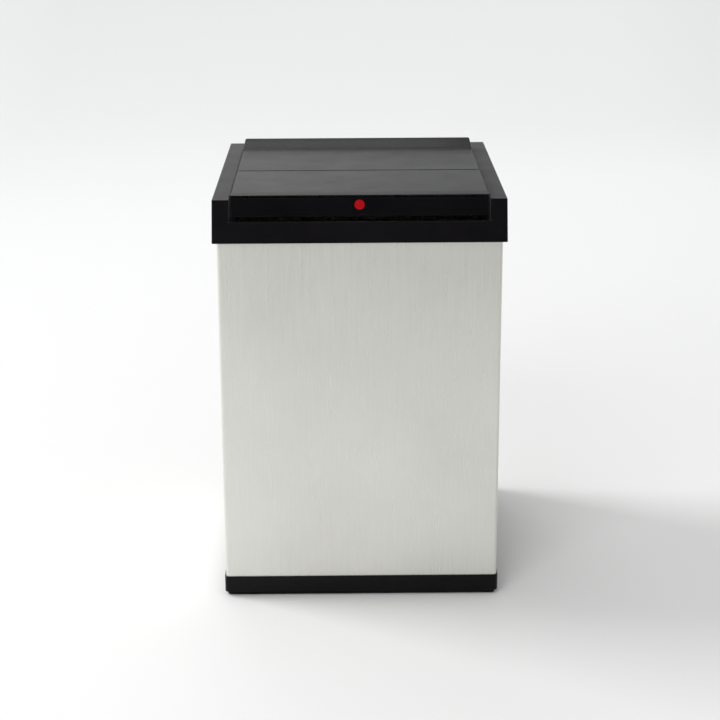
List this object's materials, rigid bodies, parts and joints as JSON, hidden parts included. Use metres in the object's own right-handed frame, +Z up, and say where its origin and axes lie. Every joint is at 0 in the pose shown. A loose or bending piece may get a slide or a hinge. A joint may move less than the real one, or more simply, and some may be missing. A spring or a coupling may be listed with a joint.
{
  "type": "swing-lid trash can",
  "caption": "Free-standing square kitchen bin: brushed steel tube on a black base, lift-off black head and a counterweighted see-saw lid with a front push bar.",
  "frame": {"origin": "centre of the footprint on the floor, under the four rubber feet", "axes": "+X to the right seen from the front, the front bar faces -Y, +Z up"},
  "size_m": [0.34, 0.365, 0.5075],
  "materials": {
    "brushed_steel": "fine vertical grain, satin",
    "plain_steel": "plain zinc-coated sheet",
    "zinc_steel": "bright zinc",
    "head_plastic": "fine grained black",
    "lid_plastic": "fine grained black",
    "bar_plastic": "fine grained black",
    "base_plastic": "fine grained black",
    "frame_plastic": "dark grey",
    "bush_plastic": "plain bearing plastic",
    "rubber": "matt rubber",
    "red_gloss": "clear domed red"
  },
  "bodies": {
    "bin": {"body_shell": "brushed_steel", "bottom_panel": "plain_steel", "base_ring": "base_plastic", "base_screws": "zinc_steel", "foot_pad_front_left": "rubber", "foot_pad_front_right": "rubber", "foot_pad_rear_left": "rubber", "foot_pad_rear_right": "rubber"},
    "bag_ring": {"bag_frame": "frame_plastic"},
    "head": {"head_frame": "head_plastic", "pivot_bush_left": "bush_plastic", "pivot_bush_right": "bush_plastic", "rest_buffer_left": "rubber", "rest_buffer_right": "rubber", "stop_buffer_left": "rubber", "stop_buffer_right": "rubber"},
    "lid": {"swing_lid": "lid_plastic", "lid_front_bar": "bar_plastic", "badge_disc": "red_gloss", "front_bar_screws": "zinc_steel", "counterweight_bar": "plain_steel", "counterweight_screws": "zinc_steel", "pivot_pin_left": "zinc_steel", "pivot_pin_right": "zinc_steel", "pin_clip_left": "zinc_steel", "pin_clip_right": "zinc_steel"}
  },
  "joints": [
    {"name": "bag_frame_lift", "type": "slide", "parent": "bin", "child": "bag_ring", "axis": [0, 0, 1], "range_m": [0, 0.06]},
    {"name": "head_lift", "type": "slide", "parent": "bag_ring", "child": "head", "axis": [0, 0, 1], "range_m": [0, 0.1]},
    {"name": "lid_swing", "type": "hinge", "parent": "head", "child": "lid", "pos_m": [0, -0.0349, 0.4852], "axis": [1, 0, 0], "range_deg": [0, 75]}
  ]
}
